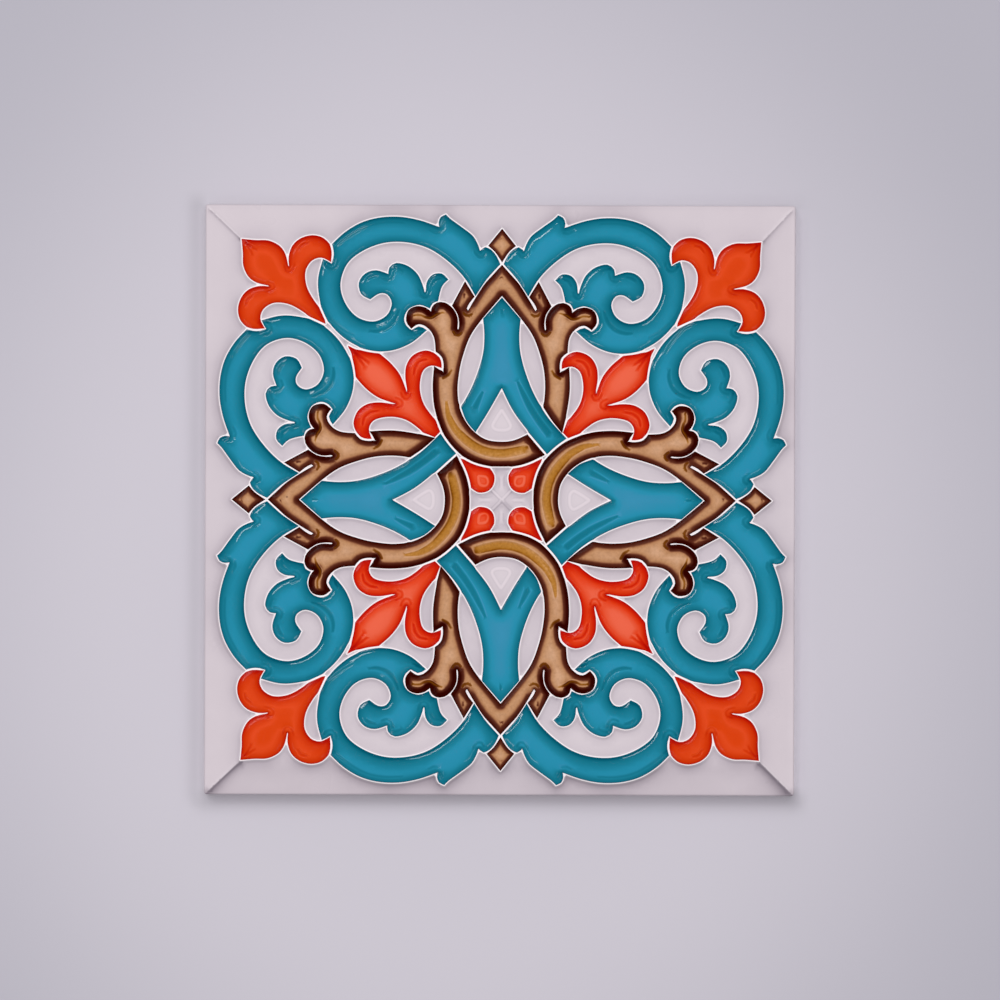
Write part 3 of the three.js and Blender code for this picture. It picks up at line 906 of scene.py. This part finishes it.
# One flat map for the whole tile: the face, with the sides folded out round it, and the back beside it
def mapTile(tile):
    mesh = tile.data
    layer = mesh.uv_layers.new(name="OFBake")
    spot = (readAll(mesh.vertices, "co", 3) / mm)[readAll(mesh.loops, "vertex_index", kind=np.int32)]
    fold = np.clip(slab["rim"] - spot[:, 2], 0, None) * (np.max(np.abs(spot[:, :2]), axis=1)
                                                        > slab["half"] - slab["rimRound"] - 0.1)
    spread = 1 + fold / slab["half"]
    across = 2 * (slab["half"] + slab["rim"] + 0.6)
    uv = np.column_stack([spot[:, 0] * spread, spot[:, 1] * spread]) / across * 0.8 + 0.4
    totals = readAll(mesh.polygons, "loop_total", kind=np.int32)
    backPolygon = int(np.argmax(totals))
    start = mesh.polygons[backPolygon].loop_start
    back = slice(start, start + int(totals[backPolygon]))
    uv[back] = spot[back, :2] * [-1, 1] / across * 0.18 + [0.9, 0.1]
    layer.data.foreach_set("uv", uv.astype(np.float32).ravel())


tile = faceObject()
addBody(tile)
finishBody(tile)
mapTile(tile)
print("tile:", len(tile.data.polygons), "faces")


# A socket in a shader, so that sums on it read as sums
class Value:
    def __init__(self, socket):
        self.socket = socket

    def math(self, operation, *others):
        return Value(addNode(self.socket.id_data, "Math", {"operation": operation},
                             {index: item for index, item in enumerate((self, *others))}).outputs[0])

    def __add__(self, other):
        return self.math("ADD", other)

    __radd__ = __add__

    def __sub__(self, other):
        return self.math("SUBTRACT", other)

    def __rsub__(self, other):
        return (self * -1).math("ADD", other)

    def __mul__(self, other):
        return self.math("MULTIPLY", other)

    __rmul__ = __mul__

    def __truediv__(self, other):
        return self.math("DIVIDE", other)

    def __gt__(self, other):
        return self.math("GREATER_THAN", other)

    def clamped(self):
        return self.math("MAXIMUM", 0.0).math("MINIMUM", 1.0)


# Any shader node: its settings first, then the values or links of its sockets
def addNode(tree, kind, settings=None, inputs=None):
    node = tree.nodes.new("ShaderNode" + kind)
    for name, setting in (settings or {}).items():
        if name == "stops":
            ramp = node.color_ramp
            while len(ramp.elements) < len(setting):
                ramp.elements.new(1)
            for element, (position, colour) in zip(ramp.elements, setting):
                element.position = position
                element.color = linear(colour)
        else:
            setattr(node, name, setting)
    for name, item in (inputs or {}).items():
        if isinstance(item, Value):
            tree.links.new(item.socket, node.inputs[name])
        else:
            node.inputs[name].default_value = item
    return node


# Screen colour, 0 to 255, as the shader's linear one, opaque
def linear(colour):
    return (*(part / 255 / 12.92 if part < 10.3 else ((part / 255 + 0.055) / 1.055) ** 2.4
              for part in colour), 1)


def newMaterial(name):
    material = bpy.data.materials.new(name)
    material.use_nodes = True
    tree = material.node_tree
    tree.nodes.clear()
    shader = addNode(tree, "BsdfPrincipled")
    output = addNode(tree, "OutputMaterial")
    tree.links.new(shader.outputs[0], output.inputs[0])
    return material, tree, shader


# Links a shader's colour, roughness and fine bumps, "skin" being their strength and height in metres
def dress(tree, shader, body, gloss, height, skin, shine=0.5):
    bumps = addNode(tree, "Bump", {}, {"Height": height, "Strength": skin[0], "Distance": skin[1]})
    for name, value in (("Base Color", body), ("Roughness", gloss), ("Normal", Value(bumps.outputs[0]))):
        tree.links.new(value.socket, shader.inputs[name])
    shader.inputs["Specular IOR Level"].default_value = shine


def attribute(tree, name):
    return Value(addNode(tree, "Attribute", {"attribute_name": name}).outputs["Fac"])


def placeIn(tree):
    return Value(addNode(tree, "TexCoord").outputs["Object"])


def noise(tree, scale, detail=2.0):
    inputs = {"Vector": placeIn(tree), "Scale": scale, "Detail": detail}
    return Value(addNode(tree, "TexNoise", {}, inputs).outputs["Fac"])


def ramp(tree, value, stops, interpolation="LINEAR"):
    node = addNode(tree, "ValToRGB", {"stops": stops}, {"Fac": value})
    node.color_ramp.interpolation = interpolation
    return Value(node.outputs["Color"])


def mixColours(tree, share, first, second, blend="MIX"):
    node = addNode(tree, "Mix", {"data_type": "RGBA", "blend_type": blend},
                   {0: share, 6: first, 7: second})
    return Value(node.outputs[2])


# Small dark pinholes, a fraction of a millimetre wide, where a sparse pattern of cells allows them
def pinholes(tree, scale, chance, width):
    spots = addNode(tree, "TexVoronoi", {}, {"Vector": placeIn(tree), "Scale": scale})
    lottery = addNode(tree, "SeparateColor", {}, {0: Value(spots.outputs["Color"])})
    nearCentre = (1 - Value(spots.outputs["Distance"]) / width).clamped()
    return nearCentre * (Value(lottery.outputs[0]) > 1 - chance)


glazeFinish = {
    "teal": {
        "stops": [(0.0, (2, 86, 106)), (0.09, (10, 99, 119)), (0.26, (16, 110, 131)), (0.4, (21, 116, 137)),
                  (0.51, (24, 120, 142)), (0.6, (27, 125, 148)), (0.67, (30, 129, 154)),
                  (0.72, (33, 134, 160)), (0.77, (36, 139, 167)), (0.81, (40, 142, 172)),
                  (0.86, (42, 143, 174)), (0.93, (54, 142, 175)), (1.0, (62, 146, 182))],
        "edge": (2, 90, 110), "mottle": 0.05, "pinholes": 0.004, "gloss": 0.05, "shine": 0.4,
    },
    "cornerRed": {
        "stops": [(0.0, (172, 10, 0)), (0.15, (188, 26, 0)), (0.28, (197, 38, 2)), (0.49, (208, 51, 5)),
                  (0.7, (215, 60, 12)), (0.82, (221, 68, 22)), (0.89, (224, 73, 29)), (0.95, (219, 66, 14)),
                  (1.0, (217, 63, 9))],
        "edge": (180, 28, 4), "mottle": 0.05, "pinholes": 0.003, "gloss": 0.14, "shine": 0.16,
    },
    "innerRed": {
        "stops": [(0.0, (176, 8, 0)), (0.18, (194, 20, 2)), (0.36, (206, 32, 4)), (0.49, (213, 46, 10)),
                  (0.58, (219, 55, 17)), (0.65, (223, 62, 25)), (0.72, (227, 69, 34)), (0.8, (229, 79, 46)),
                  (0.865, (231, 90, 59)), (0.92, (234, 98, 69)), (1.0, (236, 102, 73))],
        "edge": (180, 12, 4), "mottle": 0.05, "pinholes": 0.003, "gloss": 0.14, "shine": 0.14,
    },
    "brown": {
        "stops": [(0.0, (50, 4, 0)), (0.1, (64, 17, 8)), (0.2, (77, 30, 18)), (0.3, (90, 42, 28)),
                  (0.355, (106, 56, 38)), (0.41, (140, 88, 60)), (0.46, (168, 116, 81)),
                  (0.53, (185, 133, 94)), (0.66, (195, 145, 106)), (0.8, (200, 151, 114)),
                  (1.0, (211, 164, 129))],
        "edge": (46, 4, 0), "mottle": 0.03, "pinholes": 0.03, "gloss": 0.14, "shine": 0.045,
    },
}
honeyStops = [(0.12, (116, 60, 4)), (0.25, (142, 84, 12)), (0.42, (167, 108, 36)), (0.56, (177, 119, 47)),
              (0.68, (184, 126, 56)), (0.82, (208, 152, 96))]

# What the coloured glazes share: each noise is a scale and its detail, and each share how much it does
grain = {
    "edgeWidth": 0.25,
    "mottle": (260.0, 3.0),
    "cloud": (75.0, 1.0), "cloudShare": 0.36,
    "grit": (1400.0, 2.0), "gritTone": 0.16, "gritShare": 0.7,
    "gloss": (90.0, 2.0), "glossShare": 0.05,
    "skin": (520.0, 2.0), "skinBump": (0.14, 0.0002),
    "holes": 420.0, "holeWidth": 0.16, "holeShare": 0.8, "hole": (60, 30, 20),
}


def glazeMaterial(name):
    finish = glazeFinish[name]
    material, tree, shader = newMaterial(name + "Glaze")
    # The tone carries glaze thickness and painted shade
    thicknessAndShade = attribute(tree, "tone") + (noise(tree, *grain["mottle"]) - 0.5) * finish["mottle"]
    if name == "brown":
        thicknessAndShade = thicknessAndShade + (noise(tree, *grain["cloud"]) - 0.5) * grain["cloudShare"]
    body = ramp(tree, thicknessAndShade, finish["stops"])
    if name == "brown":
        grit = noise(tree, *grain["grit"])
        amber = ramp(tree, thicknessAndShade + (grit - 0.5) * grain["gritTone"], honeyStops)
        body = mixColours(tree, attribute(tree, "honey"), body, amber)
        shade = ramp(tree, grit, [(0.3, (232, 230, 228)), (0.6, (255, 255, 255))])
        body = mixColours(tree, grain["gritShare"], body, shade, "MULTIPLY")
    rim = (1 - attribute(tree, "edge") / grain["edgeWidth"]).clamped()
    body = mixColours(tree, rim, body, linear(finish["edge"]))
    holes = pinholes(tree, grain["holes"], finish["pinholes"], grain["holeWidth"])
    body = mixColours(tree, holes * grain["holeShare"], body, linear(grain["hole"]))
    gloss = noise(tree, *grain["gloss"]) * grain["glossShare"] + finish["gloss"]
    skin = noise(tree, *grain["skin"]) - holes * 2.0
    dress(tree, shader, body, gloss, skin, grain["skinBump"], finish["shine"])
    return material


# The white's darker stops show the pooled glaze and the painted shade and shadow that its tone carries
whiteFinish = {
    "stops": [(0.0, (126, 116, 126)), (0.2, (160, 149, 158)), (0.4, (187, 176, 184)), (0.6, (204, 193, 200)),
              (0.8, (214, 203, 209)), (1.0, (223, 211, 217))],
    "ridge": (250, 242, 245), "ridgeWidth": 0.37, "ridgeFade": 0.12,
    "mottle": 0.12, "gloss": 0.24, "shine": 0.3,
    "specks": (260.0, 0.012, 0.1), "speckShare": 0.45, "speck": (120, 105, 110),
}


def whiteMaterial():
    material, tree, shader = newMaterial("whiteGlaze")
    # The tone carries glaze thickness, pooled glaze and painted shade, shadow and light
    thicknessAndShade = attribute(tree, "tone") + (noise(tree, 160.0, 4.0) - 0.5) * whiteFinish["mottle"]
    body = ramp(tree, thicknessAndShade, whiteFinish["stops"])
    beside = ((attribute(tree, "edge") + whiteFinish["ridgeWidth"]) / whiteFinish["ridgeFade"]).clamped()
    ridge = beside.math("MAXIMUM", attribute(tree, "ridge") * 0.5)
    body = mixColours(tree, ridge, body, linear(whiteFinish["ridge"]))
    specks = pinholes(tree, *whiteFinish["specks"])
    body = mixColours(tree, specks * whiteFinish["speckShare"], body, linear(whiteFinish["speck"]))
    gloss = noise(tree, 120.0) * 0.1 + whiteFinish["gloss"]
    skin = noise(tree, 900.0, 3.0) - specks
    dress(tree, shader, body, gloss, skin, (0.08, 0.0002), whiteFinish["shine"])
    return material


def biscuitMaterial():
    material, tree, shader = newMaterial("biscuit")
    clay = noise(tree, 500.0, 6.0)
    body = ramp(tree, clay, [(0.3, (196, 178, 160)), (0.7, (222, 208, 192))])
    grit = pinholes(tree, 900.0, 0.25, 0.35)
    body = mixColours(tree, grit * 0.35, body, linear((150, 126, 108)))
    dress(tree, shader, body, clay * 0.1 + 0.8, clay - grit, (0.3, 0.0003))
    return material


makers = {"white": whiteMaterial, "biscuit": biscuitMaterial}
for name in glazes:
    tile.data.materials.append(makers[name]() if name in makers else glazeMaterial(name))
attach(tile, "root")
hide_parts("tile")
print("glazes:", len(tile.data.materials))

# Plain pale table with a painted pool of light, lightest a little below and left of the tile; beside the
# tile "contact" is painted light, how much lighter it is close up and over what reach, and "shadow" a
# painted shadow, how much darker a little further off
table = {
    "size": 3.0, "middle": (205, 200, 209), "outer": (182, 179, 189), "lightest": (-0.014, -0.02),
    "contact": {"right": (0.72, 0.0012), "left": (0.2, 0.001), "bottom": (0.32, 0.0009)},
    "shadow": {"left": 0.13, "bottom": 0.14},
    "shadowPlace": 0.0028, "shadowReach": 0.0022,
}


# One beside a side of the tile, fading away from it: "out" points away from that side, "along" runs by
# it, and towards the corners it ends short by "inset"
def beyondEdge(out, along, place, reach, power, inset=0.0):
    off = ((out - (slab["half"] * mm + place)).math("ABSOLUTE") / reach).math("POWER", power)
    outside = out > slab["half"] * mm
    inLine = 1 - (along.math("ABSOLUTE") - slab["half"] * mm + inset).math("MAXIMUM", 0.0) / (2 * reach)
    return (off * -1).math("EXPONENT") * outside * inLine.math("MAXIMUM", 0.0)


def addTable():
    bpy.ops.object.select_all(action="DESELECT")
    bpy.ops.mesh.primitive_plane_add(size=table["size"], location=(0, 0, 0))
    floor = bpy.context.active_object
    floor.name = "table"
    material, tree, shader = newMaterial("paleTable")
    place = placeIn(tree)
    wide = addNode(tree, "VectorMath", {"operation": "MULTIPLY"}, {0: place, 1: (1.15, 1.0, 0.0)})
    away = Value(addNode(tree, "VectorMath", {"operation": "DISTANCE"},
                         {0: Value(wide.outputs[0]), 1: (*table["lightest"], 0.0)}).outputs["Value"])
    waver = (noise(tree, 9.0, 3.0) - 0.5) * 0.04
    # Painted pool of light, fading to the outer colour
    shade = ramp(tree, away * 3.0 + waver, [(0.27, table["middle"]), (0.62, table["outer"])], "EASE")
    spot = addNode(tree, "SeparateXYZ", {}, {0: place})
    x, y = Value(spot.outputs[0]), Value(spot.outputs[1])
    ways = {"right": (x, y), "left": (x * -1, y), "bottom": (y * -1, x)}
    level = 1.0
    for side, depth in table["shadow"].items():
        dip = beyondEdge(*ways[side], table["shadowPlace"], table["shadowReach"], 2.0)
        level = level - dip * depth
    # Painted light close beside the tile
    for side, (lift, reach) in table["contact"].items():
        level = level + beyondEdge(*ways[side], 0.0, reach, 1.0, 2 * reach) * lift
    lit = addNode(tree, "VectorMath", {"operation": "SCALE"}, {0: shade, "Scale": level})
    tree.links.new(lit.outputs[0], shader.inputs["Base Color"])
    shader.inputs["Roughness"].default_value = 0.7
    floor.data.materials.append(material)


# A broad soft light overhead, a little towards the top, and three strips whose reflections run along the
# shoulders of the scrolls; only the strips show in the glaze
lights = {
    "world": (0.98, 0.97, 1.0), "worldStrength": 0.355,
    "lamps": [
        {"name": "overhead", "place": (-0.05, 0.42, 2.4), "size": (1.3, 1.3), "power": 35.6, "seen": False},
        {"name": "stripTopLeft", "place": (-0.54, 0.6, 1.5), "size": (0.85, 0.11), "power": 3.4},
        {"name": "stripBottomLeft", "place": (-0.57, -0.57, 1.5), "size": (0.6, 0.09), "power": 0.8},
        {"name": "stripBottomRight", "place": (0.54, -0.6, 1.5), "size": (0.4, 0.08), "power": 0.3},
    ],
}


def addLights():
    world = bpy.data.worlds.new("studio")
    bpy.context.scene.world = world
    world.use_nodes = True
    world.node_tree.nodes["Background"].inputs[0].default_value = (*lights["world"], 1)
    world.node_tree.nodes["Background"].inputs[1].default_value = lights["worldStrength"]
    world.cycles_visibility.glossy = False
    for lamp in lights["lamps"]:
        data = bpy.data.lights.new(lamp["name"], "AREA")
        data.shape = "RECTANGLE"
        data.size, data.size_y = lamp["size"]
        data.energy = lamp["power"]
        light = bpy.data.objects.new(lamp["name"], data)
        light.location = lamp["place"]
        light.rotation_euler = (-Vector(lamp["place"])).to_track_quat("-Z", "Y").to_euler()
        light.visible_glossy = lamp.get("seen", True)
        bpy.context.collection.objects.link(light)


# Straight above the tile, which fills 588 of the picture's 1000 pixels
camera = {"height": 1.6, "frameWidth": 0.25755, "roll": 0.17, "centre": (0.00003, 0.00004)}


def addCamera():
    data = bpy.data.cameras.new("camera")
    data.sensor_width = 36
    data.lens = data.sensor_width * (camera["height"] - slab["ground"] * mm) / camera["frameWidth"]
    eye = bpy.data.objects.new("camera", data)
    eye.location = (*camera["centre"], camera["height"])
    eye.rotation_euler = (0, 0, math.radians(camera["roll"]))
    bpy.context.collection.objects.link(eye)
    bpy.context.scene.camera = eye


addTable()
addLights()
addCamera()
bpy.context.scene.view_settings.view_transform = "Standard"
print("stage: table, lights and camera")
